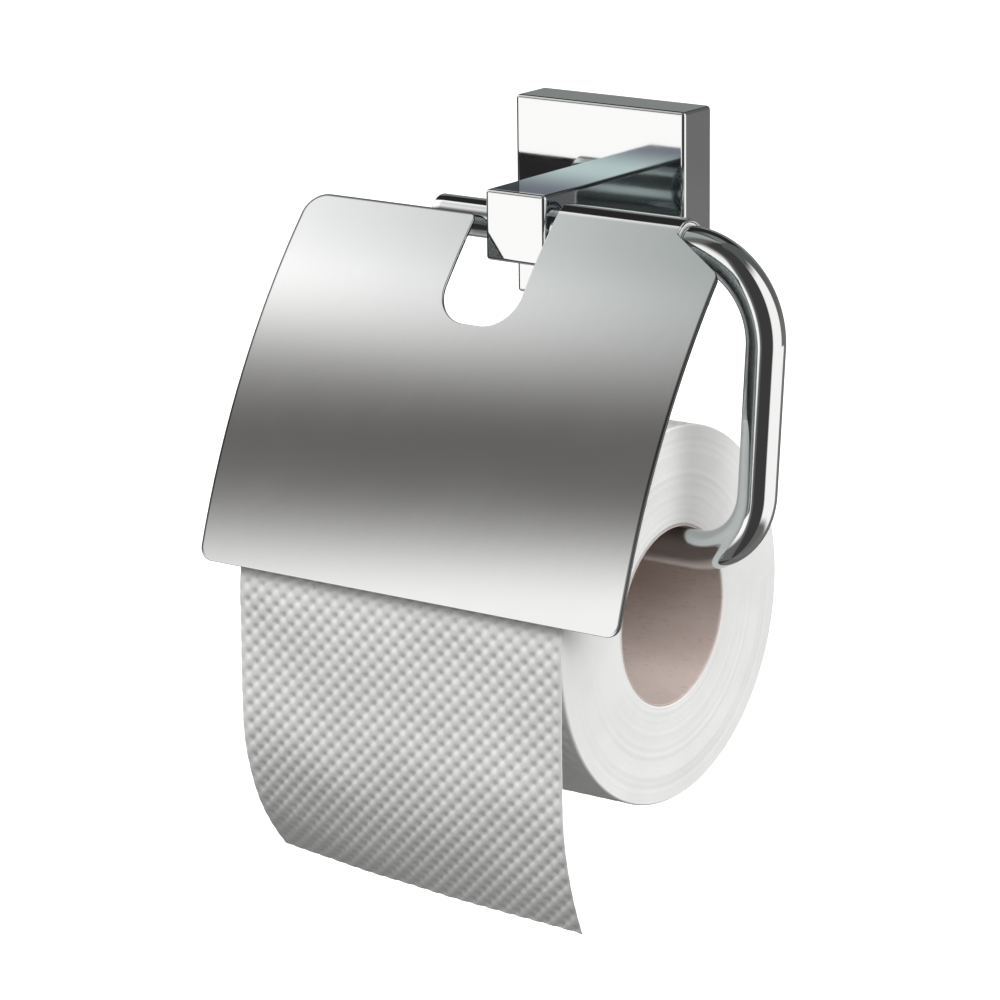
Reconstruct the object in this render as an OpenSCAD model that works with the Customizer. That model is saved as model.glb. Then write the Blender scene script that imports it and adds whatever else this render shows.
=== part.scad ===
// Wall-mounted toilet paper holder: a square arm carries a bent rod for the roll
// and a hinged, curved lid. X runs along the wall, +Y goes into the wall, Z is up.
// The wall surface is Y = 0 and the origin is behind the centre of the rosette.

/* [Rosette and wall plate] */
// Side of the square rosette
rosette_w = 50; // [48:1:56]
// Depth of the rosette, from the wall to its face
rosette_t = 11.5; // [11:0.5:13]
// Thickness of the rosette's walls
rosette_wall = 3; // [2.8:0.1:3.2]
// Radius of the softened outer edges
edge_r = 1.0; // [0.4:0.1:1.4]
// Thickness of the plate that is screwed to the wall
plate_t = 2.2; // [1.8:0.1:2.4]
// Distance between the two wall screw holes
screw_spacing = 26; // [24:1:28]
// Diameter of a wall screw hole
screw_hole_d = 4.8; // [4.2:0.1:5.2]

/* [Arm] */
// Width and height of the square arm
arm_w = 17.4; // [16.4:0.1:18.4]
// Distance from the wall to the arm's front face
arm_reach = 47.3; // [46:0.1:52]
// How far the arm's root sits inside the rosette's face
arm_seat = 1.0; // [0.6:0.1:1.4]

/* [Rod] */
// Diameter of the round rod
rod_d = 9.5; // [9:0.1:9.8]
// Distance of the rod's axis behind the arm's front face
rod_setback = 6.2; // [6.1:0.1:8]
// Length of rod to the left of the arm's centre
stub_len = 26.7; // [18:0.1:32]
// Furthest distance of the rod's side from the arm's centre
loop_reach = 67.3; // [67:0.1:72]
// Height between the upper and lower lengths of rod
loop_drop = 73.9; // [70:0.1:80]
// Bend radius at the top of the loop, on the rod's axis
top_bend_r = 21; // [18:0.1:21]
// Bend radius at the bottom of the loop, on the rod's axis
low_bend_r = 17.3; // [14:0.1:19]
// Inward lean of the loop's side, in degrees
loop_lean = 3.4; // [1:0.1:4]
// Distance of the free end from the arm's centre
free_end = 46; // [30:1:49]
// Chamfer at both ends of the rod
rod_chamfer = 0.8; // [0.3:0.1:1.2]

/* [Lid] */
// Width of the lid along the wall
lid_w = 123.2; // [110:0.2:124]
// Length of the lid's curve from the hinge to the bottom edge
lid_len = 99; // [80:1:101]
// Thickness of the lid's sheet
lid_t = 0.9; // [0.8:0.1:1.0]
// Radius that the sheet is bent to
lid_bend_r = 208; // [190:1:240]
// Slope of the sheet at the hinge, in degrees from vertical
lid_slope = 43.6; // [43.6:0.1:52]
// Width of the notch that clears the arm
notch_w = 22.4; // [20:0.1:24]
// Depth of the notch, measured along the sheet
notch_depth = 31.6; // [24:0.1:40]
// Corner radius at the bottom of the notch
notch_r = 9; // [4:0.1:9.8]
// Radius of the lid's bottom corners
low_corner_r = 3.5; // [1:0.1:8]
// Radius of the lid's top left corner
top_corner_r = 6; // [1:0.1:10]
// Thickness of the plastic sleeve inside the hinge
sleeve_t = 0.48; // [0.4:0.02:0.5]

/* [Paper] */
// Diameter of the wound paper
roll_d = 92.4; // [70:0.1:92.4]
// Width of the roll
roll_w = 95; // [88:1:98]
// Distance of the roll's middle to the left of the arm's centre
roll_shift = 2.5; // [0:0.1:4]
// Inner diameter of the cardboard core
core_d = 43; // [40:0.1:46]
// Thickness of the cardboard
core_t = 0.6; // [0.5:0.1:1]
// Thickness of the loose sheet of paper
sheet_t = 0.4; // [0.3:0.1:0.4]
// Straight length of the loose sheet below the roll's middle
sheet_drop = 31; // [5:1:60]
// Radius of the curl at the loose sheet's end
sheet_curl_r = 57; // [40:1:90]
// Angle of the curl at the loose sheet's end
sheet_curl = 40; // [10:1:50]
// Angle of roll that the loose sheet covers above the roll's middle
sheet_wrap = 40; // [10:1:60]

/* [Hidden] */

$fn = 96;

// Small clearances and laps
slip = 0.05;        // a rod or screw in its hole, and the arm in its seat
glue_gap = 0.02;    // between pieces that are pushed or glued together
paper_gap = 0.3;    // between paper and what it hangs on or lies against
bend_lap = 0.2;     // how far a straight length of rod runs into a bend
bend_thin = 0.01;   // the bends are this much thinner, so that they join cleanly
wall_gap = 0.5;     // between the roll and the wall
past = 6;           // how far the cuts in the lid's outline run past the sheet

// Wall plate
plate_w = 38;
flange_t = 2;
flange_reach = 8;
plate_low = -19.5;
cavity = rosette_w / 2 - rosette_wall;
face_back = rosette_t - rosette_wall;

// Screws
bolt_r = 2.95;
bolt_head_r = 5.25;
bolt_head_t = 3;
bolt_len = 16;
bolt_key_r = 2.3;
bolt_head_slope = 1.6;
washer_r = 6;
washer_t = 1.2;
washer_play = 0.25;
grub_r = 2.45;
grub_key_r = 1.45;
grub_key_deep = 2;
grub_len = 5;
grub_sunk = 0.1;    // the arm's grub screw ends this far inside the arm
grub_y = 5.2;

// Rod
rod_r = rod_d / 2;
rod_y = -(arm_reach - rod_setback);
top_bend_x = loop_reach - top_bend_r;
side_top_x = top_bend_x + top_bend_r * cos(loop_lean);
side_top_z = -top_bend_r * (1 + sin(loop_lean));
low_bend_z = -loop_drop + low_bend_r;
side_low_z = low_bend_z - low_bend_r * sin(loop_lean);
side_len = (side_top_z - side_low_z) / cos(loop_lean);
side_low_x = side_top_x - side_len * sin(loop_lean);
low_bend_x = side_low_x - low_bend_r * cos(loop_lean);

// Lid: the sheet leaves the hinge barrel along its tangent, between the wall's two faces
sleeve_in = rod_r + slip;
barrel_in = sleeve_in + sleeve_t + glue_gap;
barrel_skin = 0.08; // the barrel's wall is this much thicker than the sheet on both faces
barrel_out = barrel_in + lid_t + 2 * barrel_skin;
sheet_r = barrel_out - barrel_skin;
barrel_gap = 52;    // open part of the barrel, in degrees, behind the sheet
barrel_lap = 0.5;   // how far the sheet's top edge runs into the barrel's wall
barrel_end = 5;     // how far the wall runs past the tangent point, in degrees
barrel_side = 0.1;  // how far the barrel reaches past the notch's edge
barrel_play = 0.3;  // between the barrel's right end and the rod's bend
barrel_x0 = notch_w / 2 - barrel_side;
barrel_x1 = top_bend_x - barrel_play;
sleeve_short = 0.3; // the sleeve ends this far inside the barrel, on both sides
lid_sweep = lid_len / lid_bend_r * 180 / PI;
lid_mid_slope = lid_slope - lid_sweep / 2;
bend_y = (lid_bend_r - sheet_r) * cos(lid_slope);
bend_z = -(lid_bend_r - sheet_r) * sin(lid_slope);
// Places along the sheet are measured on the chord of its curve
chord_half = lid_bend_r * sin(lid_sweep / 2);
left_top = 2.4;     // the sheet's top edge to the left of the notch
notch_lip_r = 2;    // rounding at the notch's mouth, left side
corner_end = 11;    // where the slant meets the right edge, measured along the sheet
// Slanted top right corner as (x, length along the sheet), from the barrel to the right edge
corner_path = [[barrel_x1 - 0.1, 0.6], [barrel_x1 + 0.9, 1.4], [60.2, 9.4],
               [lid_w / 2, corner_end]];

// Paper
roll_r = roll_d / 2;
core_r = core_d / 2;
core_out = core_r + core_t;
roll_y = -(roll_r + wall_gap);
hang = core_r - rod_r - paper_gap;
roll_z = -loop_drop - sqrt(hang * hang - pow(roll_y - rod_y, 2));
roll_x0 = -roll_shift - roll_w / 2;
sheet_in = roll_r + paper_gap;
sheet_out = sheet_in + sheet_t;

// A prism along X, drawn in the Y-Z plane as (y, z)
module along_x(x0, x1) {
    translate([x0, 0, 0]) rotate([90, 0, 90]) linear_extrude(x1 - x0) children();
}

// A round bar along X
module rod_x(x0, x1, r) {
    translate([x0, 0, 0]) rotate([0, 90, 0]) cylinder(r = r, h = x1 - x0);
}

// A round bar along Y, from y0 towards the wall
module rod_to_wall(y0, y1, r, sides = $fn) {
    translate([0, y0, 0]) rotate([-90, 0, 0]) cylinder(r = r, h = y1 - y0, $fn = sides);
}

// A square with its four corners rounded, centred on the origin
module soft_square(w, r) {
    square([w, w - 2 * r], center = true);
    square([w - 2 * r, w], center = true);
    for (x = [-1, 1], y = [-1, 1]) translate([x, y] * (w / 2 - r)) circle(r = r, $fn = 48);
}

// A half-plane strip whose two front corners are rounded: w wide, from y0 back to y1
module soft_front(w, y0, y1, r) {
    translate([-w / 2, y0 + r]) square([w, y1 - y0 - r]);
    translate([-w / 2 + r, y0]) square([w - 2 * r, 2 * r]);
    for (x = [-1, 1]) translate([x * (w / 2 - r), y0 + r]) circle(r = r, $fn = 48);
}

// A square block on the Y axis with soft long edges and a soft front
module soft_block(w, y0, y1, r) {
    intersection() {
        translate([0, y1, 0]) rotate([90, 0, 0]) linear_extrude(y1 - y0) soft_square(w, r);
        translate([0, 0, -w]) linear_extrude(2 * w) soft_front(w, y0, y1, r);
        rotate([0, 90, 0]) translate([0, 0, -w]) linear_extrude(2 * w) soft_front(w, y0, y1, r);
    }
}

module ring(r_in, r_out, sides) {
    difference() {
        circle(r = r_out, $fn = sides);
        circle(r = r_in, $fn = sides);
    }
}

// A wedge from angle a0 over sweep degrees, up to 120, with its point at the origin
module wedge(a0, sweep, reach) {
    polygon(concat([[0, 0]],
                   [for (a = [0, 0.5, 1]) [cos(a0 + a * sweep), sin(a0 + a * sweep)] * reach]));
}

// A slice of a ring, from angle a0 over sweep degrees, drawn about the origin
module ring_slice(r_in, r_out, a0, sweep, sides) {
    intersection() {
        ring(r_in, r_out, sides);
        wedge(a0, sweep, 3 * r_out);
    }
}

// Plate with two turned edges, screwed to the wall inside the rosette
module wall_bracket() {
    color("gainsboro") difference() {
        union() {
            translate([-plate_w / 2, -plate_t, plate_low])
                cube([plate_w, plate_t, cavity - plate_low]);
            for (z = [plate_low, cavity - flange_t])
                translate([-plate_w / 2, -flange_reach, z])
                    cube([plate_w, flange_reach, flange_t]);
        }
        for (x = [-1, 1]) translate([x * screw_spacing / 2, 0, 0])
            rod_to_wall(-plate_t - 1, 1, screw_hole_d / 2);
    }
}

// Square cover over the wall plate, open at the back
module rosette() {
    color("silver") difference() {
        soft_block(rosette_w, -rosette_t, 0, edge_r);
        translate([-cavity, -face_back, -cavity]) cube([2 * cavity, face_back + 1, 2 * cavity]);
        translate([-arm_w / 2 - slip, -rosette_t - 1, -arm_w / 2 - slip])
            cube([arm_w + 2 * slip, arm_seat + 1, arm_w + 2 * slip]);
        rod_to_wall(-rosette_t - 1, -face_back + 1, bolt_r + slip);
        translate([0, -grub_y, -rosette_w / 2 - 1]) cylinder(r = grub_r + slip, h = 2 * rosette_wall);
    }
}

// Solid square arm: cross bore for the rod, blind hole for the bolt, hole for the grub screw
module arm() {
    root = -(rosette_t - arm_seat);
    color("lightgray") difference() {
        soft_block(arm_w, -arm_reach, root, edge_r);
        translate([0, rod_y, 0]) rod_x(-arm_w, arm_w, rod_r + slip);
        rod_to_wall(-face_back + washer_t - bolt_len - 1, root + 1, bolt_r + slip);
        translate([0, rod_y, -arm_w / 2 - 1]) cylinder(r = grub_r + slip, h = arm_w / 2 + 1);
    }
}

module arm_washer() {
    color("darkgray") difference() {
        rod_to_wall(-face_back, -face_back + washer_t, washer_r);
        rod_to_wall(-face_back - 1, -face_back + washer_t + 1, bolt_r + washer_play);
    }
}

// Button-head bolt that pulls the arm against the rosette from behind
module arm_bolt() {
    seat = -face_back + washer_t;
    color("dimgray") difference() {
        union() {
            rod_to_wall(seat - bolt_len, seat, bolt_r);
            translate([0, seat, 0]) rotate([-90, 0, 0]) {
                cylinder(r = bolt_head_r, h = bolt_head_t / 2);
                translate([0, 0, bolt_head_t / 2])
                    cylinder(r1 = bolt_head_r, r2 = bolt_head_r - bolt_head_slope,
                             h = bolt_head_t / 2);
            }
        }
        rod_to_wall(seat + 1, seat + bolt_head_t + 1, bolt_key_r, 6);
    }
}

// A grub screw along Z with its hexagon socket at the lower end
module grub_screw(y, z0, z1) {
    translate([0, y, 0]) difference() {
        translate([0, 0, z0]) cylinder(r = grub_r, h = z1 - z0);
        translate([0, 0, z0 - 1]) cylinder(r = grub_key_r, h = grub_key_deep + 1, $fn = 6);
    }
}

// One grub screw locks the rosette on the wall plate, the other locks the rod in the arm
module grub_screws() {
    color("slategray") {
        grub_screw(-grub_y, plate_low - grub_len, plate_low);
        grub_screw(rod_y, -arm_w / 2 + grub_sunk, -rod_r);
    }
}

// An arc of rod in the X-Z plane, centred at (x, z), from angle a0 over sweep degrees
module rod_bend(x, z, r, a0, sweep) {
    translate([x, 0, z]) rotate([90, 0, 0]) rotate([0, 0, a0])
        rotate_extrude(angle = sweep) translate([r, 0]) circle(r = rod_r - bend_thin);
}

// A chamfered tip that ends a length of rod at x, pointing to -X
module rod_tip(x) {
    translate([x, 0, 0]) rotate([0, 90, 0])
        cylinder(r1 = rod_r - rod_chamfer, r2 = rod_r, h = rod_chamfer);
}

// One round rod: stub, upper length through the arm, two bends, and the length for the roll
module roll_bar() {
    color("lightsteelblue") translate([0, rod_y, 0]) {
        rod_tip(-stub_len);
        rod_x(-stub_len + rod_chamfer, top_bend_x + bend_lap, rod_r);
        rod_bend(top_bend_x, -top_bend_r, top_bend_r, -loop_lean, 90 + loop_lean);
        translate([side_low_x, 0, side_low_z]) rotate([0, loop_lean, 0])
            translate([0, 0, -bend_lap]) cylinder(r = rod_r, h = side_len + 2 * bend_lap);
        rod_bend(low_bend_x, low_bend_z, low_bend_r, -90, 90 - loop_lean);
        translate([0, 0, -loop_drop]) {
            rod_x(-free_end + rod_chamfer, low_bend_x + bend_lap, rod_r);
            rod_tip(-free_end);
        }
    }
}

// Where a length s along the bent sheet falls on its chord
function on_chord(s) =
    chord_half + lid_bend_r * sin(s / lid_bend_r * 180 / PI - lid_sweep / 2);

// A corner's worth of waste: what rounding takes off a square corner at the origin,
// the material being towards +x and +y
module corner_waste(r) {
    difference() {
        translate([-1, -1]) square(r + 1);
        translate([r, r]) circle(r = r, $fn = 64);
    }
}

// The notch for the arm, with round bottom corners
module notch() {
    depth = on_chord(notch_depth);
    half = notch_w / 2;
    translate([-half, -past]) square([notch_w, past + depth - notch_r]);
    translate([-half + notch_r, 0]) square([notch_w - 2 * notch_r, depth]);
    for (x = [-1, 1]) translate([x * (half - notch_r), depth - notch_r])
        circle(r = notch_r, $fn = 64);
}

// Outline of the lid, with x along the wall and y down the chord
module lid_outline() {
    half = lid_w / 2;
    low = 2 * chord_half;
    difference() {
        translate([-half, -barrel_lap]) square([lid_w, low + barrel_lap]);
        translate([-half - past, -past])
            square([half - notch_w / 2 + past + 1, past + on_chord(left_top)]);
        translate([-half, on_chord(left_top)]) corner_waste(top_corner_r);
        translate([-notch_w / 2, on_chord(left_top)]) mirror([1, 0]) corner_waste(notch_lip_r);
        for (side = [0, 1]) mirror([side, 0]) translate([-half, low]) mirror([0, 1])
            corner_waste(low_corner_r);
        // Slanted top right corner, clear of the rod's bend
        polygon(concat([[corner_path[0][0], -past]],
                       [for (p = corner_path) [p[0], on_chord(p[1])]],
                       [[half + past, on_chord(corner_end)], [half + past, -past]]));
        notch();
    }
}

// Curved sheet whose right half is rolled round the rod as a hinge barrel
module lid() {
    color("whitesmoke") translate([0, rod_y, 0]) {
        intersection() {
            along_x(-lid_w / 2 - 3, lid_w / 2 + 3) translate([bend_y, bend_z])
                ring_slice(lid_bend_r - lid_t, lid_bend_r, 178 - lid_slope, lid_sweep + 4, 720);
            translate([0, -sheet_r * cos(lid_slope), sheet_r * sin(lid_slope)])
                rotate([-90 - lid_mid_slope, 0, 0])
                    translate([0, 0, -12]) linear_extrude(24) lid_outline();
        }
        along_x(barrel_x0, barrel_x1) difference() {
            ring(barrel_in, barrel_out, $fn);
            wedge(180 + barrel_end - lid_slope, barrel_gap, 3 * barrel_out);
        }
    }
}

// Plastic sleeve that lines the hinge barrel and turns on the rod
module hinge_sleeve() {
    color("white") translate([0, rod_y, 0]) difference() {
        rod_x(barrel_x0 + sleeve_short, barrel_x1 - sleeve_short, sleeve_in + sleeve_t);
        rod_x(barrel_x0, barrel_x1, sleeve_in);
    }
}

// A tube on the roll's axis, as wide as the roll
module roll_tube(r_in, r_out) {
    translate([0, roll_y, roll_z]) difference() {
        rod_x(roll_x0, roll_x0 + roll_w, r_out);
        rod_x(roll_x0 - 1, roll_x0 + roll_w + 1, r_in);
    }
}

module core() {
    color("tan") roll_tube(core_r, core_out);
}

module paper_roll() {
    color("ivory") roll_tube(core_out + glue_gap, roll_r);
}

// The paper's free end: round the front of the roll, straight down, then curled to the wall
module loose_sheet() {
    color("linen") translate([0, roll_y, roll_z]) along_x(roll_x0, roll_x0 + roll_w) {
        ring_slice(sheet_in, sheet_out, 180 - sheet_wrap, sheet_wrap, 180);
        translate([-sheet_out, -sheet_drop]) square([sheet_t, sheet_drop]);
        translate([sheet_curl_r - sheet_out, -sheet_drop])
            ring_slice(sheet_curl_r - sheet_t, sheet_curl_r, 180, sheet_curl, 240);
    }
}

wall_bracket();
rosette();
arm();
arm_washer();
arm_bolt();
grub_screws();
roll_bar();
lid();
hinge_sleeve();
core();
paper_roll();
loose_sheet();
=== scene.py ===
"""Looks of a wall-mounted toilet paper holder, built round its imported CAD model.

Lengths are in millimetres until a piece is made, and in metres, in the CAD frame, after that:
X runs along the wall, +Y goes into the wall, Z is up, and the wall surface is Y = 0.
"""

import math
from types import SimpleNamespace

import bmesh
import bpy
import numpy as np
from mathutils import Matrix, Vector


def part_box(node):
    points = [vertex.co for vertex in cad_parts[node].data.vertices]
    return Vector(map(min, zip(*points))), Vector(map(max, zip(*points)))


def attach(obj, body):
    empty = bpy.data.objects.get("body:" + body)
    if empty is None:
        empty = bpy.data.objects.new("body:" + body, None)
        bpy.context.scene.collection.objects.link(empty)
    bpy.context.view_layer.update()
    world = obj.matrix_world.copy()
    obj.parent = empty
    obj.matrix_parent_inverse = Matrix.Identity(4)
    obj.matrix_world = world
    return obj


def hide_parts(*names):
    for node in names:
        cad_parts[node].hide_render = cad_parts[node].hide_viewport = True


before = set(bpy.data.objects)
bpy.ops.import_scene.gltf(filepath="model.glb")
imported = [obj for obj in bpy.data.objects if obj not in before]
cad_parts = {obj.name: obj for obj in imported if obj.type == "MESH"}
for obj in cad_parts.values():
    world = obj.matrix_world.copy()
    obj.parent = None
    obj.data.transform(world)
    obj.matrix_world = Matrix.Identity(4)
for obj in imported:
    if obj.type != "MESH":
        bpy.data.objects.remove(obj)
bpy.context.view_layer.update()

MM = 0.001


def node_box(node):
    """Lowest and highest corner of a CAD node, in millimetres."""
    return tuple(np.array(corner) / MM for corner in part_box(node))


def add_object(name, data):
    """A new object in the scene."""
    made = bpy.data.objects.new(name, data)
    bpy.context.scene.collection.objects.link(made)
    return made


def add_from_bmesh(name, b, material=None):
    """A new mesh object from a bmesh, which is freed."""
    mesh = bpy.data.meshes.new(name)
    b.to_mesh(mesh)
    b.free()
    if material:
        mesh.materials.append(material)
    return add_object(name, mesh)


# ---------------------------------------------------------------- camera and stage


def make_camera():
    """A long lens a metre away, in front of the holder at its right and a little above it."""
    azimuth, elevation, roll = (math.radians(a) for a in (35.80, 15.04, -0.62))
    target = Vector((-0.0032, -0.0500, -0.0672))
    distance = 1.0703
    back = Vector(
        (
            math.sin(azimuth) * math.cos(elevation),
            -math.cos(azimuth) * math.cos(elevation),
            math.sin(elevation),
        )
    )
    level = Vector((math.cos(azimuth), math.sin(azimuth), 0))
    upright = back.cross(level)
    right = math.cos(roll) * level + math.sin(roll) * upright
    up = back.cross(right)
    data = bpy.data.cameras.new("camera")
    data.sensor_width = 36
    data.lens = 158.4
    data.clip_start, data.clip_end = 0.05, 50
    camera = add_object("camera", data)
    camera.matrix_world = Matrix.Translation(target + back * distance) @ Matrix(
        (right, up, back)
    ).transposed().to_4x4()
    bpy.context.scene.camera = camera


class Graph:
    """Short names for building node trees."""

    def __init__(self, tree):
        self.tree = tree
        tree.nodes.clear()

    def node(self, kind, **settings):
        made = self.tree.nodes.new(kind)
        for name, value in settings.items():
            setattr(made, name, value)
        return made

    def link(self, out, into):
        self.tree.links.new(out, into)

    def feed(self, node, inputs):
        for name, value in inputs.items():
            if isinstance(value, bpy.types.NodeSocket):
                self.link(value, node.inputs[name])
            else:
                node.inputs[name].default_value = value
        return node

    def math(self, operation, *values):
        made = self.node("ShaderNodeMath", operation=operation)
        return self.feed(made, dict(enumerate(values))).outputs[0]

    def smooth(self, value, low, high, at_low=0.0, at_high=1.0):
        """at_low below low, at_high above high, and a smooth change between them."""
        made = self.node("ShaderNodeMapRange", interpolation_type="SMOOTHSTEP")
        places = {"Value": value, "From Min": low, "From Max": high}
        self.feed(made, {**places, "To Min": at_low, "To Max": at_high})
        return made.outputs["Result"]

    def tilt(self, a, b, rate, shift):
        """a + rate (b + shift)"""
        return self.math("MULTIPLY_ADD", self.math("ADD", b, shift), rate, a)

    def mix(self, factor, a, b):
        """A colour between a and b."""
        made = self.node("ShaderNodeMix", data_type="RGBA")
        for index, value in ((0, factor), (6, a), (7, b)):
            if isinstance(value, bpy.types.NodeSocket):
                self.link(value, made.inputs[index])
            else:
                made.inputs[index].default_value = value
        return made.outputs[2]


def grey(level, tint=(1, 1, 1)):
    """A colour of one brightness, tinted."""
    return (level * tint[0], level * tint[1], level * tint[2], 1)


# Tints of the studio's greys
GREEN = (0.965, 1.0, 0.965)
WHITE = (1.063, 1.0, 0.985)
WARM = (1.085, 1.0, 0.95)
PLAIN = (1.055, 1.0, 0.98)


def soft_panel(g, base, colour, *edges, cover=1.0):
    """Lays a panel over base. Each soft edge is (coordinate, where it starts, where it is full)."""
    for value, start, full in edges:
        ends = (0.0, 1.0) if start < full else (1.0, 0.0)
        ramp = g.smooth(value, min(start, full), max(start, full), *ends)
        cover = g.math("MULTIPLY", cover, ramp)
    return g.mix(cover, base, colour)


def upper_panel(g, azimuth, elevation, base):
    """A large panel at the upper left, brighter to the left and fading downwards."""
    slanted = g.tilt(azimuth, elevation, 2.8, -43.0)
    tone = g.mix(g.smooth(slanted, -68, -28), grey(1.89, WHITE), grey(0.573, GREEN))
    tilted = g.tilt(elevation, azimuth, -3.65, 45.0)
    fade = g.math("POWER", g.smooth(tilted, 13, 91), 1.16)
    return soft_panel(g, base, tone, (azimuth, -98, -90), (elevation, 8, 20), cover=fade)


def low_panel(g, azimuth, elevation, base):
    """A white panel in front at the left, low, with a slanted upper edge."""
    tone = g.mix(g.smooth(elevation, -8, 6), grey(1.60, WHITE), grey(1.48, WHITE))
    slanted = g.tilt(elevation, azimuth, -1.9, 37.0)
    fade = g.math("POWER", g.smooth(slanted, 6.7, 69, 1.0, 0.0), 9.9)
    sides = ((azimuth, -49, -42), (azimuth, 2, -6))
    ends = ((elevation, -42, -28), (elevation, 46, 24))
    return soft_panel(g, base, tone, *sides, *ends, cover=fade)


def paint_studio(g, az, el):
    """The studio's tone by direction. In degrees, azimuth 0 is in front of the wall and 90 to its
    right, and elevation 90 is overhead."""
    tone = g.mix(g.smooth(el, -50, 60), grey(0.20, PLAIN), grey(0.16, GREEN))
    behind_left = (grey(0.30, GREEN), (az, -122, -136), (el, -5, 5))
    behind_right = (grey(0.24, PLAIN), (az, 120, 138), (el, 8, 0))
    left = (grey(0.2025, WARM), (az, -100, -88), (az, -2, -8), (el, -4, 4))
    low_left = (grey(0.05, WARM), (az, -106, -98), (az, -36, -40), (el, 4, -4))
    dark_corner = (grey(0.03, PLAIN), (az, -88, -96), (el, 28, 34), (el, 66, 58))
    for colour, *edges in (behind_left, behind_right, left, low_left, dark_corner):
        tone = soft_panel(g, tone, colour, *edges)
    tone = upper_panel(g, az, el, tone)
    tone = low_panel(g, az, el, tone)
    dark, white, foot = grey(0.07, PLAIN), grey(1.5, PLAIN), (el, -48, -36)
    in_front = (dark, (az, 4, 14), (az, 76, 68), (el, 84, 74))
    overhead = (dark, (az, -30, -16), (az, 20, 8), (el, 38, 52))
    right = (white, (az, 70, 78), (az, 136, 128), (el, 64, 46), foot)
    right_low = (white, (az, 124, 128), (az, 158, 152), (el, -12.4, -13.6), foot)
    for colour, *edges in (in_front, overhead, right, right_low):
        tone = soft_panel(g, tone, colour, *edges)
    return tone


def make_world():
    """A studio seen only in gloss, white behind the object, and a plain soft sky for the rest."""
    world = bpy.data.worlds.new("studio")
    bpy.context.scene.world = world
    world.use_nodes = True
    g = Graph(world.node_tree)
    place = g.node("ShaderNodeTexCoord")
    axes = g.node("ShaderNodeSeparateXYZ")
    g.link(place.outputs["Generated"], axes.inputs[0])
    x, y, z = axes.outputs
    azimuth = g.math("DEGREES", g.math("ARCTAN2", x, g.math("MULTIPLY", y, -1.0)))
    elevation = g.math("DEGREES", g.math("ARCSINE", z))
    sky = g.mix(g.smooth(elevation, -40, 50), grey(0.18), grey(0.50))
    path = g.node("ShaderNodeLightPath")
    seen = g.mix(path.outputs["Is Glossy Ray"], sky, paint_studio(g, azimuth, elevation))
    seen = g.mix(path.outputs["Is Camera Ray"], seen, grey(1.0))
    background = g.node("ShaderNodeBackground")
    g.link(seen, background.inputs["Color"])
    out = g.node("ShaderNodeOutputWorld")
    g.link(background.outputs[0], out.inputs["Surface"])


def soft_light(name, place, target, size, power):
    """A square lamp for the matt surfaces. The chrome reflects the studio instead."""
    data = bpy.data.lights.new(name, "AREA")
    data.size = size
    data.energy = power
    lamp = add_object(name, data)
    lamp.location = place
    lamp.rotation_euler = (Vector(target) - Vector(place)).to_track_quat("-Z", "Y").to_euler()
    lamp.visible_glossy = False


def make_floor():
    """A pale floor far below the object, which neither tints nor mirrors in it."""
    height, half = -0.70, 40.0
    mesh = bpy.data.meshes.new("floor")
    corners = [(-half, -half), (half, -half), (half, half), (-half, half)]
    mesh.from_pydata([(x, y, height) for x, y in corners], [], [(0, 1, 2, 3)])
    floor = add_object("floor", mesh)
    floor.visible_glossy = False
    floor.visible_diffuse = False
    pale, g, shader = new_material("pale_floor")
    g.feed(shader, {"Base Color": grey(0.9), "Roughness": 0.9})
    g.feed(shader, {"Emission Color": grey(1.0), "Emission Strength": 1.0})
    mesh.materials.append(pale)


# ---------------------------------------------------------------- materials


def new_material(name):
    """The material, its graph and its Principled shader, already linked to the output."""
    material = bpy.data.materials.new(name)
    material.use_nodes = True
    g = Graph(material.node_tree)
    shader = g.node("ShaderNodeBsdfPrincipled")
    out = g.node("ShaderNodeOutputMaterial")
    g.link(shader.outputs[0], out.inputs["Surface"])
    return material, g, shader


def object_place(g, scale=(1, 1, 1)):
    """Object coordinates, in metres, stretched by scale."""
    place = g.node("ShaderNodeTexCoord")
    mapping = g.node("ShaderNodeMapping")
    g.link(place.outputs["Object"], mapping.inputs["Vector"])
    mapping.inputs["Scale"].default_value = scale
    return mapping.outputs["Vector"]


def noise(g, place, scale, detail=2.0, roughness=0.5):
    """Noise from 0 to 1, with scale periods to a metre."""
    made = g.node("ShaderNodeTexNoise")
    g.feed(made, {"Vector": place, "Scale": scale, "Detail": detail, "Roughness": roughness})
    return made.outputs["Fac"]


def bump(g, shader, height, distance, strength=1.0):
    """Fine relief on the shader's surface, of a depth in metres."""
    made = g.node("ShaderNodeBump")
    g.feed(made, {"Height": height, "Distance": distance, "Strength": strength})
    g.link(made.outputs["Normal"], shader.inputs["Normal"])


CHROME = (0.56, 0.595, 0.60, 1)


def make_chrome(name="chrome", vary=None):
    """Polished chrome plating: nearly a mirror, with faint wipe marks and orange peel. vary may
    change its tone from place to place."""
    material, g, shader = new_material(name)
    g.feed(shader, {"Base Color": CHROME, "Metallic": 1.0})
    place = object_place(g)
    if vary:
        vary(g, shader, place)
    haze = noise(g, place, 55, 4.0)
    g.link(g.smooth(haze, 0.35, 0.75, 0.045, 0.085), shader.inputs["Roughness"])
    bump(g, shader, noise(g, place, 260, 2.0), 0.000004, 0.6)
    return material


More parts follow.
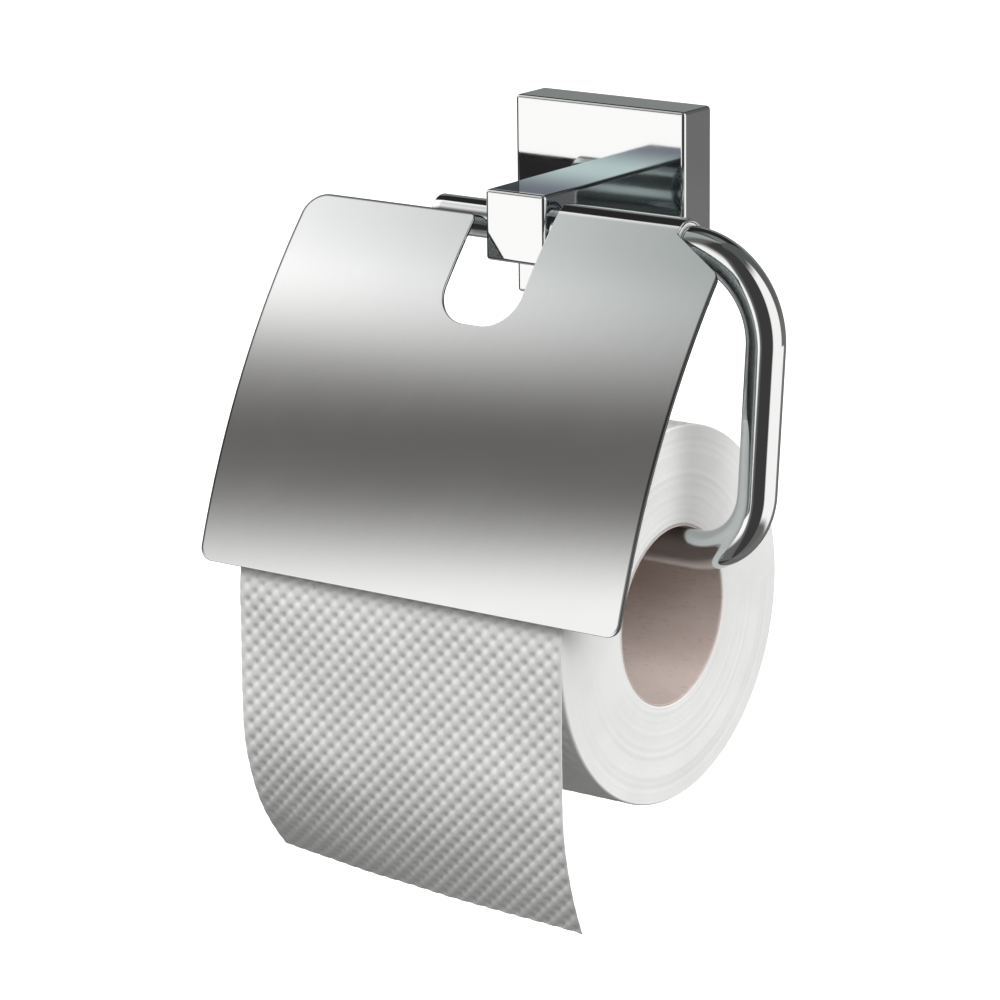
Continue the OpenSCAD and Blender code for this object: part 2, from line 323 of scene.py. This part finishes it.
def painted_reflection_arm(g, shader, place):
    """Painted reflection: makes the arm's sides go from a pale, greener tone at its root to dark near
    its front face, which is left clear.
    """
    root, end = -0.013, -0.044  # where the painted darkening starts and ends, in metres off the wall
    face_clear, face_painted = end - 0.0022, end - 0.0014
    axes = g.node("ShaderNodeSeparateXYZ")
    g.link(place, axes.inputs[0])
    behind_face = g.smooth(axes.outputs[1], face_clear, face_painted)
    from_wall = g.smooth(axes.outputs[1], end, root, 1.0, 0.0)
    painted_darkening = g.math("MULTIPLY", from_wall, behind_face)
    # Painted reflection: pale and greener at the root, dark near the front face, in base colour and
    # specular tint
    tones = {
        "Base Color": (CHROME, (0.50, 0.56, 0.555, 1), (0.37, 0.40, 0.415, 1)),
        "Specular Tint": (grey(1), (0.75, 0.88, 0.88, 1), (0.34, 0.35, 0.40, 1)),
    }
    for socket, (clear, pale, dark) in tones.items():
        tone = g.mix(painted_darkening, g.mix(behind_face, clear, pale), dark)
        g.link(tone, shader.inputs[socket])


def make_paper(name, colour, fibre=900):
    """Soft tissue: matt, with a faint fibre grain and uneven whiteness."""
    material, g, shader = new_material(name)
    g.feed(shader, {"Roughness": 0.95, "Specular IOR Level": 0.15})
    place = object_place(g)
    cloud = noise(g, place, 60, 3.0)
    dark = tuple(c * 0.94 for c in colour)
    tone = g.mix(g.smooth(cloud, 0.3, 0.7), (*dark, 1), (*colour, 1))
    g.link(tone, shader.inputs["Base Color"])
    fibres = noise(g, place, fibre, 4.0, 0.65)
    bump(g, shader, fibres, 0.00012, 0.5)
    return material


def make_cardboard():
    """Pinkish grey board, wound in a spiral, with fibres and faint darker specks."""
    material, g, shader = new_material("cardboard")
    g.feed(shader, {"Roughness": 0.8, "Specular IOR Level": 0.25})
    place = object_place(g, (0.35, 1, 1))
    cloud = noise(g, place, 90, 5.0, 0.6)
    tone = g.mix(g.smooth(cloud, 0.3, 0.7), (0.60, 0.505, 0.465, 1), (0.68, 0.585, 0.545, 1))
    specks = g.smooth(noise(g, place, 1500, 2.0), 0.28, 0.42, 0.25, 0.0)
    tone = g.mix(specks, tone, (0.32, 0.24, 0.20, 1))
    g.link(tone, shader.inputs["Base Color"])
    bump(g, shader, noise(g, place, 700, 4.0), 0.00008, 0.4)
    return material


def make_zinc():
    """Zinc-plated sheet steel with its spangle."""
    material, g, shader = new_material("zinc")
    g.feed(shader, {"Metallic": 1.0})
    place = object_place(g)
    cells = g.node("ShaderNodeTexVoronoi")
    g.feed(cells, {"Vector": place, "Scale": 380.0})
    tone = g.mix(cells.outputs["Color"], (0.50, 0.51, 0.53, 1), (0.66, 0.67, 0.68, 1))
    g.link(tone, shader.inputs["Base Color"])
    g.link(g.smooth(noise(g, place, 120, 3.0), 0.3, 0.7, 0.28, 0.45), shader.inputs["Roughness"])
    return material


def make_steel():
    """Plain screw steel, turned, with a fine grain."""
    material, g, shader = new_material("screw_steel")
    g.feed(shader, {"Base Color": (0.46, 0.46, 0.47, 1), "Metallic": 1.0})
    place = object_place(g, (1, 6, 1))
    grain = noise(g, place, 700, 3.0)
    g.link(g.smooth(grain, 0.3, 0.7, 0.25, 0.42), shader.inputs["Roughness"])
    bump(g, shader, grain, 0.00002, 0.5)
    return material


def make_plastic():
    """White sleeve plastic, satin."""
    material, g, shader = new_material("sleeve_plastic")
    g.feed(shader, {"Base Color": (0.86, 0.86, 0.84, 1)})
    place = object_place(g)
    grain = noise(g, place, 400, 3.0)
    g.link(g.smooth(grain, 0.3, 0.7, 0.38, 0.5), shader.inputs["Roughness"])
    bump(g, shader, grain, 0.00002, 0.4)
    return material


# ---------------------------------------------------------------- mesh helpers


def add_piece(name, points, faces, material):
    """A new smooth mesh object from points in millimetres."""
    mesh = bpy.data.meshes.new(name)
    mesh.from_pydata((np.asarray(points, float) * MM).tolist(), [], faces)
    mesh.materials.append(material)
    mesh.shade_smooth()
    mesh.validate()
    return add_object(name, mesh)


def place_piece(piece, body, slot, *nodes):
    """Puts a piece on its body, in place of the CAD nodes that it shows."""
    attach(piece, body)
    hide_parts(*nodes)


def grid_faces(rows, columns, wrap_rows=False, wrap_columns=False):
    """Quads between the points of a grid that is stored row by row."""
    r = np.arange(rows if wrap_rows else rows - 1)
    c = np.arange(columns if wrap_columns else columns - 1)
    r, c = np.meshgrid(r, c, indexing="ij")
    below, beside = (r + 1) % rows, (c + 1) % columns
    quads = [r * columns + c, r * columns + beside, below * columns + beside, below * columns + c]
    return np.stack([q.ravel() for q in quads], axis=1).tolist()


def fillet(corners):
    """Points of a closed outline whose corners (x, y, radius) are rounded."""
    outline = []
    for i, (x, y, radius) in enumerate(corners):
        here = np.array((x, y), float)
        before = np.array(corners[i - 1][:2], float) - here
        after = np.array(corners[(i + 1) % len(corners)][:2], float) - here
        before /= np.linalg.norm(before)
        after /= np.linalg.norm(after)
        half = math.acos(max(-1.0, min(1.0, float(before @ after)))) / 2
        turn = math.pi - 2 * half
        reach = radius / math.tan(half)
        centre = here + (before + after) / np.linalg.norm(before + after) * radius / math.sin(half)
        start = here + before * reach - centre
        side = 1 if before[0] * after[1] - before[1] * after[0] < 0 else -1
        steps = max(2, math.ceil(math.degrees(turn) / 6))
        for k in range(steps + 1):
            a = side * turn * k / steps
            c, s = math.cos(a), math.sin(a)
            outline.append(centre + (c * start[0] - s * start[1], s * start[0] + c * start[1]))
    return np.array(outline)


# ---------------------------------------------------------------- rod


ROD = {
    "radius": 9.5 / 2,
    "stub_end": -26.7,
    "free_end": -46.0,
    "upper_bend": 21.0,
    "lower_bend": 17.3,
    "lean": math.radians(3.4),  # of the side between the bends, from vertical
    "chamfer": 0.8,
}


def rod_depth():
    """y of the rod's axis."""
    low, high = node_box("roll_bar")
    return (low[1] + high[1]) / 2


def rod_centreline():
    """Points and directions along the rod's axis, as (x, z), in millimetres."""
    low, high = node_box("roll_bar")
    radius, lean = ROD["radius"], ROD["lean"]
    top_r, low_r = ROD["upper_bend"], ROD["lower_bend"]
    drop = high[2] - low[2] - 2 * radius
    top_centre = np.array((high[0] - radius - top_r, -top_r))
    side_top = top_centre + top_r * np.array((math.cos(lean), -math.sin(lean)))
    side_low_z = -drop + low_r - low_r * math.sin(lean)
    length = (side_top[1] - side_low_z) / math.cos(lean)
    side_low = side_top - length * np.array((math.sin(lean), math.cos(lean)))
    low_centre = side_low + low_r * np.array((-math.cos(lean), math.sin(lean)))
    points, angles = [], []

    def straight(a, b, count, angle):
        for k in range(count + 1):
            points.append(a + (b - a) * k / count)
            angles.append(angle)

    def bend(centre, r, a0, a1, count):
        for k in range(1, count):
            a = a0 + (a1 - a0) * k / count
            points.append(centre + r * np.array((math.cos(a), math.sin(a))))
            angles.append(a - math.pi / 2)

    stub_end, free_end = np.array((ROD["stub_end"], 0.0)), np.array((ROD["free_end"], -drop))
    straight(stub_end, np.array((top_centre[0], 0.0)), 24, 0.0)
    bend(top_centre, top_r, math.pi / 2, -lean, 48)
    straight(side_top, side_low, 12, -math.pi / 2 - lean)
    bend(low_centre, low_r, -lean, -math.pi / 2, 48)
    straight(np.array((low_centre[0], -drop)), free_end, 30, -math.pi)
    return points, angles


def rod_rings():
    """The rod's cross-sections, as centre, direction and radius, with chamfered, domed ends."""
    points, angles = rod_centreline()
    radius, chamfer = ROD["radius"], ROD["chamfer"]
    flat = radius - chamfer
    # How far each ring of an end steps back from the tip, and its radius
    tip = [(0.0, radius * 0.12), (0.01, radius * 0.6), (0.05, flat - 0.12), (0.1, flat)]
    tip += [(chamfer - 0.1, radius - 0.1), (chamfer, radius - 0.03), (chamfer + 0.15, radius)]

    def end_rings(point, angle, inward):
        along = np.array((math.cos(angle), math.sin(angle))) * inward
        return [(point + along * back, angle, r) for back, r in tip]

    middle = [(point, angle, radius) for point, angle in zip(points[1:-1], angles[1:-1])]
    first = end_rings(points[0], angles[0], 1)
    last = end_rings(points[-1], angles[-1], -1)
    return first + middle + last[::-1]


def make_rod(chrome):
    """The bent rod, as one swept tube."""
    rod_y, sides = rod_depth(), 96
    rings = rod_rings()
    vertices = []
    for (x, z), angle, r in rings:
        across = np.array((-math.sin(angle), math.cos(angle)))
        for a in np.linspace(0, 2 * math.pi, sides, endpoint=False):
            offset = r * math.cos(a)
            vertices.append((x + across[0] * offset, rod_y + r * math.sin(a), z + across[1] * offset))
    faces = grid_faces(len(rings), sides, wrap_columns=True)
    faces.append(list(range(sides))[::-1])
    faces.append([(len(rings) - 1) * sides + k for k in range(sides)])
    rod = add_piece("rod", vertices, faces, chrome)
    turn_outward(rod)
    rod.data.set_sharp_from_angle(angle=math.radians(28))
    place_piece(rod, "holder", "chrome", "roll_bar")


def turn_outward(piece):
    """Makes every face point outward."""
    b = bmesh.new()
    b.from_mesh(piece.data)
    bmesh.ops.recalc_face_normals(b, faces=b.faces)
    b.to_mesh(piece.data)
    b.free()


# ---------------------------------------------------------------- lid


LID = {
    "half": 61.6,  # half its width
    "length": 99.0,  # along the sheet, from the hinge's tangent point
    "thickness": 0.9,
    "bend": 208.0,  # radius of the outer surface
    "slope": math.radians(43.6),  # from vertical, at the hinge
    "barrel": 6.28,  # outer radius of the sheet where it is rolled round the rod
    "barrel_end": 46.0,  # x of its right end
    "curl": 303,  # how far it is rolled, in degrees
    "left_top": 2.4,  # where the sheet starts on the left of the notch, along the sheet
    "top_corner": 6.0,  # radius of its top left corner
    "corner": 3.5,  # radius of its lower corners
    "notch": 11.2,  # half the notch's width
    "notch_deep": 31.6,  # where the notch ends, along the sheet
    "notch_corner": 9.0,
    "broken_edge": 0.26,  # radius of all its edges
}


def lid_place(s, out):
    """(y, z) of a point at length s along the lid's outer surface and height out above its middle,
    with the directions along the sheet and out of it. Below s = 0 the sheet is rolled up."""
    low, high = node_box("hinge_sleeve")
    rod_y = (low[1] + high[1]) / 2
    away = LID["bend"] - LID["barrel"]
    slope = LID["slope"]
    if s >= 0:
        angle = slope - s / LID["bend"]
        centre = np.array((rod_y + away * math.cos(slope), -away * math.sin(slope)))
        radius = LID["bend"]
    else:
        angle = slope - s / LID["barrel"]
        centre = np.array((rod_y, 0.0))
        radius = LID["barrel"]
    outward = np.array((-math.cos(angle), math.sin(angle)))
    along = np.array((-math.sin(angle), -math.cos(angle)))
    return centre + (radius - LID["thickness"] / 2 + out) * outward, along, outward


def past_lid_outline(g, x, s):
    """How far a place on the flat sheet is outside the lid's outline, in millimetres. The outline
    is taken as a rounded rectangle, without an upper edge on the right of the middle."""
    length = LID["length"]
    right_half = g.math("GREATER_THAN", x, 0.0)
    top = g.math("MULTIPLY_ADD", right_half, -length, LID["left_top"])
    end = g.math("MAXIMUM", g.math("SUBTRACT", top, s), g.math("SUBTRACT", s, length))
    side = g.math("SUBTRACT", g.math("ABSOLUTE", x), LID["half"])
    upper_half = g.math("LESS_THAN", s, length / 2)
    widening = LID["top_corner"] - LID["corner"]
    corner = g.math("MULTIPLY_ADD", upper_half, widening, LID["corner"])
    side, end = g.math("ADD", side, corner), g.math("ADD", end, corner)
    across, along = g.math("MAXIMUM", side, 0.0), g.math("MAXIMUM", end, 0.0)
    squares = g.math("MULTIPLY_ADD", across, across, g.math("MULTIPLY", along, along))
    inner = g.math("MINIMUM", g.math("MAXIMUM", side, end), 0.0)
    return g.math("SUBTRACT", g.math("ADD", g.math("SQRT", squares), inner), corner)


def painted_dark_lid_edge(g, shader, _place):
    """A painted dark band along the lid's sides and top left edge, standing in for a dark reflection
    on its rounded edge. It fades out at the lower corners. The lid's mesh keeps the flat places, in
    millimetres."""
    axes = g.node("ShaderNodeSeparateXYZ")
    kept = g.node("ShaderNodeAttribute", attribute_name="flat_place")
    g.link(kept.outputs["Vector"], axes.inputs[0])
    x, s = axes.outputs[0], axes.outputs[1]
    near_edge = g.smooth(past_lid_outline(g, x, s), -0.9, -0.45)
    fade_from, fade_to = LID["length"] - 2.5, LID["length"] - 0.8
    painted_edge_dark = g.math("MULTIPLY", near_edge, g.smooth(s, fade_from, fade_to, 1.0, 0.0))
    # Painted reflection: a dark base colour and dimmed specular tint along the edge
    g.link(g.mix(painted_edge_dark, CHROME, (0.10, 0.105, 0.105, 1)), shader.inputs["Base Color"])
    g.link(g.mix(painted_edge_dark, grey(1), grey(0.25)), shader.inputs["Specular Tint"])


def lid_outline():
    """The flat sheet's outline, as (x, length along the sheet)."""
    half, length, corner = LID["half"], LID["length"], LID["corner"]
    left_top, notch, barrel_end = LID["left_top"], LID["notch"], LID["barrel_end"]
    curl = -math.radians(LID["curl"]) * LID["barrel"]
    # The corner beside the barrel is cut off, to clear the rod's upper bend
    cut_off = [(barrel_end, 0.9, 0.4), (half - 1.3, 9.6, 1.6), (half, 11.6, 0.8)]
    return fillet(
        [
            (-half, left_top, LID["top_corner"]),
            (-notch, left_top, 2),
            (-notch, LID["notch_deep"], LID["notch_corner"]),
            (notch, LID["notch_deep"], LID["notch_corner"]),
            (notch, curl, 0.6),
            (barrel_end, curl, 0.6),
            *cut_off,
            (half, length, corner),
            (-half, length, corner),
        ]
    )


def outline_normals(outline):
    """Directions out of a closed outline, at its points."""
    forward = np.roll(outline, -1, axis=0) - outline
    forward /= np.linalg.norm(forward, axis=1)[:, None]
    mean = forward + np.roll(forward, 1, axis=0)
    mean /= np.linalg.norm(mean, axis=1)[:, None]
    return np.stack([mean[:, 1], -mean[:, 0]], axis=1)


def flat_lid():
    """The lid's sheet laid flat, as (x, length along it, height), with softly broken edges. Its
    points keep their normals in a layer."""
    outline = lid_outline()
    outward = outline_normals(outline)
    count, edge = len(outline), LID["broken_edge"]
    level = LID["thickness"] / 2 - edge
    steps = [(level, a) for a in (90, 60, 30, 0)] + [(-level, a) for a in (0, -30, -60, -90)]
    b = bmesh.new()
    normal = b.verts.layers.float_vector.new("flat_normal")
    rings = []
    for middle, degrees in steps:
        a = math.radians(degrees)
        inset = edge * (1 - math.cos(a))
        ring = []
        for (x, s), (nx, ns) in zip(outline, outward):
            v = b.verts.new((x - nx * inset, s - ns * inset, middle + edge * math.sin(a)))
            v[normal] = (nx * math.cos(a), ns * math.cos(a), math.sin(a))
            ring.append(v)
        rings.append(ring)
    for upper, lower in zip(rings, rings[1:]):
        for i in range(count):
            j = (i + 1) % count
            b.faces.new((upper[i], upper[j], lower[j], lower[i]))
    caps = [b.faces.new(rings[0]), b.faces.new(rings[-1][::-1])]
    b.normal_update()
    bmesh.ops.triangulate(b, faces=caps)
    return b


def slice_lid(b):
    """Cuts the flat sheet across, finely enough for it to bend smoothly."""
    cuts = list(np.arange(1.5, LID["length"], 1.5))
    cuts += [-LID["barrel"] * math.radians(a) for a in np.arange(0, LID["curl"], 5)]
    for s in cuts:
        whole = b.verts[:] + b.edges[:] + b.faces[:]
        bmesh.ops.bisect_plane(b, geom=whole, plane_co=(0, s, 0), plane_no=(0, 1, 0), dist=1e-5)


def bend_lid(b):
    """Bends the flat sheet to its shape, keeps its flat places and returns its points' normals."""
    flat = b.verts.layers.float_vector.new("flat_place")
    normal = b.verts.layers.float_vector["flat_normal"]
    normals = []
    for v in b.verts:
        v[flat] = v.co
        x, s, out = v.co
        place, along, up = lid_place(s, out)
        nx, ns, no = v[normal]
        normals.append(Vector((nx, *(along * ns + up * no))).normalized())
        v.co = Vector((x, *place)) * MM
    return normals


def make_lid(chrome):
    """The curved sheet with its rolled hinge, cut from one outline."""
    b = flat_lid()
    slice_lid(b)
    normals = bend_lid(b)
    bmesh.ops.recalc_face_normals(b, faces=b.faces)
    lid = add_from_bmesh("lid_sheet", b, chrome)
    lid.data.attributes.remove(lid.data.attributes["flat_normal"])
    lid.data.shade_smooth()
    lid.data.normals_split_custom_set_from_vertices(normals)
    place_piece(lid, "lid", "chrome", "lid")


# ---------------------------------------------------------------- rosette and arm


def soft_box(name, low, high, radius, material, segments=6):
    """A block with rounded edges."""
    b = bmesh.new()
    bmesh.ops.create_cube(b, size=1)
    size, centre = (high - low) * MM, (high + low) / 2 * MM
    for v in b.verts:
        v.co = Vector(np.array(v.co) * size + centre)
    bmesh.ops.bevel(
        b, geom=b.edges[:], offset=radius * MM, segments=segments, profile=0.5, affect="EDGES"
    )
    return add_from_bmesh(name, b, material)


def drill(name, centre, radius, length, axis):
    """A round cutter, centred on a point, along an axis."""
    b = bmesh.new()
    bmesh.ops.create_cone(
        b, cap_ends=True, segments=64, radius1=radius * MM, radius2=radius * MM, depth=length * MM
    )
    turn = Vector((0, 0, 1)).rotation_difference(Vector(axis)).to_matrix().to_4x4()
    b.transform(Matrix.Translation(Vector(centre) * MM) @ turn)
    return add_from_bmesh(name, b)


def cut(block, cutters):
    """Takes the cutters out of the block and shades it by face area."""
    for cutter in cutters:
        step = block.modifiers.new("cut", "BOOLEAN")
        step.operation = "DIFFERENCE"
        step.solver = "EXACT"
        step.object = cutter
    bpy.context.view_layer.update()
    depsgraph = bpy.context.evaluated_depsgraph_get()
    mesh = bpy.data.meshes.new_from_object(block.evaluated_get(depsgraph))
    block.modifiers.clear()
    block.data = mesh
    mesh.shade_smooth()
    mesh.set_sharp_from_angle(angle=math.radians(40))
    shade = block.modifiers.new("shade", "WEIGHTED_NORMAL")
    shade.keep_sharp = True
    for cutter in cutters:
        bpy.data.objects.remove(cutter)


OUTER_EDGE = 1.0  # radius of the rosette's and the arm's edges
GRUB_HOLE = 2.5  # radius


def make_rosette(chrome):
    """The square cover, hollow and open at the back, with a grub screw's hole below and the hole
    for the arm's bolt."""
    low, high = node_box("rosette")
    wall, grub_y, bolt_hole = 3.0, -5.2, 3.0
    past = 5.0  # how far the cutters reach outside
    # The block runs on into the wall and is cut off there, so that its rim is sharp
    rosette = soft_box("rosette_cover", low, high + (0, 2, 0), OUTER_EDGE, chrome)
    wall_side = np.array((low[0] - past, 0, low[2] - past))
    cutters = [
        soft_box("hollow", low + wall, high + (-wall, past, -wall), 0.5, chrome, 2),
        soft_box("back", wall_side, high + (past, 8, past), 0.1, chrome, 1),
        drill("screw_hole", (0, grub_y, low[2]), GRUB_HOLE, 4 * wall, (0, 0, 1)),
        drill("bolt_hole", (0, low[1] + wall, 0), bolt_hole, 4 * wall, (0, 1, 0)),
    ]
    cut(rosette, cutters)
    place_piece(rosette, "holder", "chrome", "rosette")


def make_arm(chrome):
    """The square bar, with the rod's cross bore and a grub screw's hole below it."""
    low, high = node_box("arm")
    rod_y, rod_hole = rod_depth(), 4.8
    arm = soft_box("arm_block", low, high, OUTER_EDGE, chrome)
    cutters = [
        drill("rod_hole", (0, rod_y, 0), rod_hole, 40, (1, 0, 0)),
        drill("screw_hole", (0, rod_y, low[2]), GRUB_HOLE, 10, (0, 0, 1)),
    ]
    cut(arm, cutters)
    place_piece(arm, "holder", "chrome", "arm")


# ---------------------------------------------------------------- paper


PITCH = 4.45  # of the embossed dots, along and across, with one more in each middle
DOT_POWER = 2.1  # how narrow the dots are against the puffed paper between them


def emboss(across, along, depth, lean=0.5):
    """Depth of the pressed dots below the puffed paper, at places in millimetres. The ridges
    between them that run up to the right are the stronger ones where lean is over a half."""
    turn = 2 * math.pi / PITCH
    wave = lean * np.cos(turn * (across + along)) + (1 - lean) * np.cos(turn * (across - along))
    return -depth * ((1 + wave) / 2) ** DOT_POWER


def wobble(a, b, seed, size):
    """A smooth, repeatable unevenness between about -1 and 1."""
    rng = np.random.default_rng(seed)
    total = np.zeros(np.broadcast(a, b).shape)
    for _ in range(6):
        fa, fb = rng.uniform(0.4, 1.6, 2) / size * rng.choice([-1, 1], 2)
        total = total + np.sin(2 * math.pi * (a * fa + b * fb) + rng.uniform(0, 2 * math.pi))
    return total / 3


def roll_shape():
    """The paper roll's axis (y, z), its left and right ends, its width and its radius."""
    low, high = node_box("paper_roll")
    return SimpleNamespace(
        y=(low[1] + high[1]) / 2,
        z=(low[2] + high[2]) / 2,
        left=low[0],
        right=high[0],
        width=high[0] - low[0],
        radius=(high[2] - low[2]) / 2,
        rim=0.7,  # rounding of its outer rims
    )


ROLL = roll_shape()


def revolve(name, profile, around, material, shift):
    """A ring-shaped piece: its closed profile of (x, radius) is turned about the roll's axis, and
    shift moves its points."""
    x, r = (column[:, None] + np.zeros(around) for column in np.array(profile, float).T)
    angle = np.linspace(0, 2 * math.pi, around, endpoint=False)[None, :] + np.zeros_like(x)
    x, r = shift(x, r, angle)
    points = np.stack([x, ROLL.y + r * np.cos(angle), ROLL.z + r * np.sin(angle)], axis=-1)
    faces = grid_faces(len(profile), around, wrap_rows=True, wrap_columns=True)
    piece = add_piece(name, points.reshape(-1, 3), faces, material)
    turn_outward(piece)
    return piece


def roll_profile(inner):
    """Closed profile of the wound paper: outside, right end, bore and left end."""
    outer, soft, left, right = ROLL.radius, ROLL.rim, ROLL.left, ROLL.right
    quarter = np.linspace(0, math.pi / 2, 5)[1:]
    rim = [(soft * (1 - math.sin(a)), soft * (1 - math.cos(a))) for a in quarter]
    layers = list(np.arange(outer - soft - 0.3, inner + 0.4, -0.4))
    outside = [(x, outer) for x in np.linspace(left + soft, right - soft, 188)]
    right_end = [(right - a, outer - b) for a, b in rim] + [(right, r) for r in layers]
    left_end = [(left + a, outer - b) for a, b in rim] + [(left, r) for r in layers]
    bore = [(x, inner) for x in np.linspace(right, left, 12)]
    return outside + right_end + bore + left_end[::-1]


def make_roll(paper, end_paper):
    """The wound paper: dimpled outside, and end faces that show the wound layers."""
    low, high = node_box("core")
    inner = (high[2] - low[2]) / 2 + 0.02
    outer, depth, sunk = ROLL.radius, 0.26, 0.16  # of the dots, and of the end faces
    turns = round(2 * math.pi * outer / PITCH)

    def shift(x, r, angle):
        from_ends = np.minimum(x - ROLL.left, ROLL.right - x)
        on_side = np.clip(from_ends - ROLL.rim, 0, 1) * (r > outer - 0.01)
        pressed = emboss(x, angle * turns * PITCH / (2 * math.pi), depth)
        r = r + pressed * on_side - 0.02
        layers = wobble(r, 0 * r, 5, 2.4) + wobble(r, angle * outer * 0.012, 9, 9.0)
        end = 1.0 * (np.abs(x - ROLL.right) < 1e-6) - 1.0 * (np.abs(x - ROLL.left) < 1e-6)
        wound = (r > inner + 0.2) * (r < outer - ROLL.rim)
        return x - end * wound * (sunk + 0.04 * layers), r

    roll = revolve("wound_paper", roll_profile(inner), 584, paper, shift)
    roll.data.materials.append(end_paper)
    normals = np.empty(len(roll.data.polygons) * 3)
    roll.data.polygons.foreach_get("normal", normals)
    on_end = np.abs(normals.reshape(-1, 3)[:, 0]) > 0.8
    roll.data.polygons.foreach_set("material_index", on_end.astype(np.int32))
    place_piece(roll, "roll", "paper", "paper_roll")


def make_core(cardboard):
    """The cardboard tube, with the step of its spiral winding inside."""
    low, high = node_box("core")
    outer, wall, rim = (high[2] - low[2]) / 2, 0.6, 0.18
    inner, left, right = outer - wall, low[0], high[0]
    spiral, seam = 62.0, 0.14  # length of one turn, and height of its step
    outside = [(x, outer) for x in np.linspace(left + rim, right - rim, 24)]
    inside = [(x, inner) for x in np.linspace(right - rim, left + rim, 150)]
    profile = outside + [(right, outer - rim), (right, inner + rim)]
    profile += inside + [(left, inner + rim), (left, outer - rim)]

    def shift(x, r, angle):
        turn = (angle / (2 * math.pi) + x / spiral) % 1.0
        step = seam * np.clip(turn / 0.02, 0, 1) * (1 - 0.7 * turn)
        return x, r + step * (r < inner + 0.01)

    core = revolve("cardboard_core", profile, 240, cardboard, shift)
    place_piece(core, "roll", "cardboard", "core")


def sheet_curve(share, count):
    """The loose sheet's line at a share of its width from the left: round the front of the roll,
    straight down, then curled towards the wall. It is a list of (y, z), direction and length, and
    comes with the whole length."""
    radius = ROLL.radius + 0.5
    wrap = math.radians(52)
    on_roll = wrap * radius
    straight = 24.0 + 3.5 * share
    curl = 47.0 - 4.5 * share
    curl_radius = 56.0 + 34.0 * share
    ease = 9.0  # length over which the curl begins
    tuck, tuck_length = 0.42, 6.0  # the upper end is pressed onto the roll
    total = on_roll + straight + curl
    step = total / (count - 1)
    line = []
    for i in range(count):
        s = i * step
        if s < on_roll:
            a = wrap - s / radius
            r = radius - tuck * max(0.0, 1 - s / tuck_length) ** 2
            place = (ROLL.y - r * math.cos(a), ROLL.z + r * math.sin(a))
            down = (-math.sin(a), -math.cos(a))
        else:
            past = max(0.0, s - on_roll - straight)
            bent = past * past / (2 * ease) if past < ease else past - ease / 2
            angle = bent / curl_radius
            down = (math.sin(angle), -math.cos(angle))
            (y, z), _, before = line[-1]
            if before < on_roll:
                place = (ROLL.y - radius, ROLL.z - (s - on_roll))
            else:
                place = (y + down[0] * step, z + down[1] * step)
        line.append((place, down, s))
    return line, total


def sheet_faces(rows, columns):
    """Faces of a closed sheet whose front and back are grids, stored one after the other."""
    size = rows * columns
    front = grid_faces(rows, columns)
    back = [[point + size for point in quad][::-1] for quad in front]
    edge = list(range(columns))
    edge += [r * columns + columns - 1 for r in range(1, rows)]
    edge += [(rows - 1) * columns + c for c in range(columns - 2, -1, -1)]
    edge += [r * columns for r in range(rows - 2, 0, -1)]
    rim = [[b, a, a + size, b + size] for a, b in zip(edge, edge[1:] + edge[:1])]
    return front + back + rim


def sheet_relief(across, length):
    """How far the embossed front stands out of the sheet's middle line."""
    longest = length.max()
    lean = 0.60 + 0.2 * length / longest
    from_edge = np.minimum(np.minimum(across, ROLL.width - across), longest - length)
    pressed = emboss(across, length, 0.60, lean) * (0.15 + 0.85 * np.clip(from_edge / 1.6, 0, 1))
    return pressed + 0.15 + 0.10 * wobble(across, length, 3, 30.0)


def make_sheet(paper):
    """The hanging end of the paper: one thin embossed layer with a front and a back."""
    rows, columns, thickness = 300, 252, 0.22
    shares = np.linspace(0, 1, columns)
    front, outward = np.zeros((2, rows, columns, 3))
    length = np.zeros((rows, columns))
    for c, share in enumerate(shares):
        line, total = sheet_curve(share, rows)
        for r, (place, down, s) in enumerate(line):
            front[r, c] = (ROLL.left + share * ROLL.width, *place)
            outward[r, c] = (0, down[1], -down[0])
            length[r, c] = s
    across = (shares * ROLL.width)[None, :] + 0 * length
    front = front + outward * sheet_relief(across, length)[..., None]
    back = front - outward * thickness
    points = np.concatenate([front.reshape(-1, 3), back.reshape(-1, 3)])
    sheet = add_piece("hanging_sheet", points, sheet_faces(rows, columns), paper)
    turn_outward(sheet)
    sheet.data.set_sharp_from_angle(angle=math.radians(60))
    place_piece(sheet, "paper_end", "paper", "loose_sheet")


# ---------------------------------------------------------------- everything


def dress_node(name, material):
    """Gives a CAD node that is shown as it is its material."""
    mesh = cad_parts[name].data
    mesh.materials.clear()
    mesh.materials.append(material)


make_camera()
bpy.context.scene.view_settings.view_transform = "Standard"
make_world()
make_floor()
holder_middle = (-0.003, -0.06, -0.08)
soft_light("upper_left_light", (-0.7, -0.8, 1.3), holder_middle, size=0.7, power=12.5)
soft_light("right_light", (1.15, -0.40, 0.9), holder_middle, size=1.2, power=22)

chrome = make_chrome()
make_rod(chrome)
make_lid(make_chrome("lid_chrome_painted_edge", painted_dark_lid_edge))
make_rosette(chrome)
make_arm(make_chrome("arm_chrome_painted_reflection", painted_reflection_arm))
white = make_paper("tissue", (0.90, 0.90, 0.885))
make_roll(white, make_paper("tissue_layers", (0.92, 0.92, 0.905), 1500))
make_core(make_cardboard())
make_sheet(white)
steel = make_steel()
dress_node("wall_bracket", make_zinc())
dress_node("arm_washer", steel)
dress_node("arm_bolt", steel)
dress_node("grub_screws", steel)
dress_node("hinge_sleeve", make_plastic())
